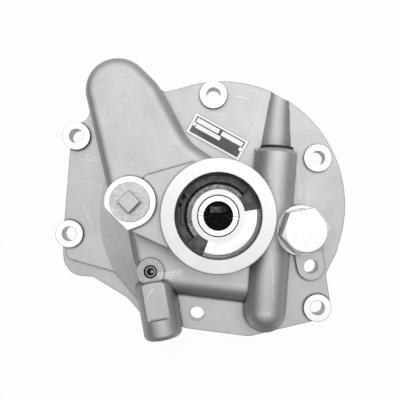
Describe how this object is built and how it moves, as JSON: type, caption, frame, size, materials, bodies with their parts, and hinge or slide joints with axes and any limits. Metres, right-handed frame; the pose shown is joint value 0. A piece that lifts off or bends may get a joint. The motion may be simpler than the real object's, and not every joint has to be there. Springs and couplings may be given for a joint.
{
  "type": "hydraulic pump",
  "caption": "Flange-mounted hydraulic rotor pump in a cast aluminium housing with a pilot ring, hollow slotted drive shaft, valve boss, hexagon relief cap and side pressure port.",
  "frame": {"origin": "pump shaft axis where it crosses the rear mounting face", "axes": "+Z out of the front through the pilot bore, +Y up and +X to the right as the front is seen"},
  "size_m": [0.2218, 0.2109, 0.0495],
  "materials": {
    "cast_aluminium": "as-cast, fine grain, machined seats bright",
    "cover_steel": "ground flat",
    "zinc_steel": "bright zinc plate",
    "plain_steel": "turned",
    "ground_steel": "ground and polished",
    "black_steel": "blackened, oiled",
    "cast_plug": "plated, dull grey",
    "sintered_iron": "sintered, oiled",
    "bronze": "turned bearing bronze",
    "seal_rubber": "matt black",
    "plate_aluminium": "printed field, bare"
  },
  "bodies": {
    "housing_group": {"housing": "cast_aluminium", "rear_cover": "cover_steel", "cover_seal_ring": "seal_rubber", "cover_screws": "black_steel", "cover_dowels": "ground_steel", "suction_seal_ring": "seal_rubber", "front_bush": "bronze", "rear_bush": "bronze", "spool_spring": "plain_steel", "bore_end_plug": "plain_steel", "end_plug_seal": "seal_rubber", "end_plug_clip": "black_steel", "valve_mouth_cap": "seal_rubber", "relief_cap": "zinc_steel", "relief_washer": "zinc_steel", "relief_seat": "plain_steel", "relief_spring": "plain_steel", "relief_shims": "plain_steel", "gallery_plug": "cast_plug", "orifice_screw": "black_steel", "data_plate": "plate_aluminium", "plate_rivets": "plate_aluminium"},
    "shaft_group": {"drive_shaft": "ground_steel", "drive_tongue": "black_steel", "rotor_key": "plain_steel", "inner_rotor": "sintered_iron"},
    "outer_rotor_group": {"outer_rotor": "sintered_iron"},
    "spool_group": {"control_spool": "ground_steel"},
    "poppet_group": {"relief_poppet": "ground_steel"}
  },
  "joints": [
    {"name": "shaft_spin", "type": "hinge", "parent": "housing_group", "child": "shaft_group", "pos_m": [0, 0, 0.02], "axis": [0, 0, 1], "continuous": true},
    {"name": "outer_rotor_spin", "type": "hinge", "parent": "housing_group", "child": "outer_rotor_group", "pos_m": [0, 0.0025, 0.013], "axis": [0, 0, 1], "continuous": true},
    {"name": "spool_slide", "type": "slide", "parent": "housing_group", "child": "spool_group", "axis": [0.0739, 0.9973, 0], "range_m": [0, 0.009], "stiffness_N_per_m": 2000, "springref_m": -0.006, "deforming": ["spool_spring"]},
    {"name": "relief_poppet_lift", "type": "slide", "parent": "housing_group", "child": "poppet_group", "axis": [0, 0, 1], "range_m": [0, 0.004], "stiffness_N_per_m": 8000, "springref_m": -0.005, "deforming": ["relief_spring"]}
  ],
  "couplings": [
    {"joint": "outer_rotor_spin", "follows": "shaft_spin", "ratio": 0.85714}
  ]
}
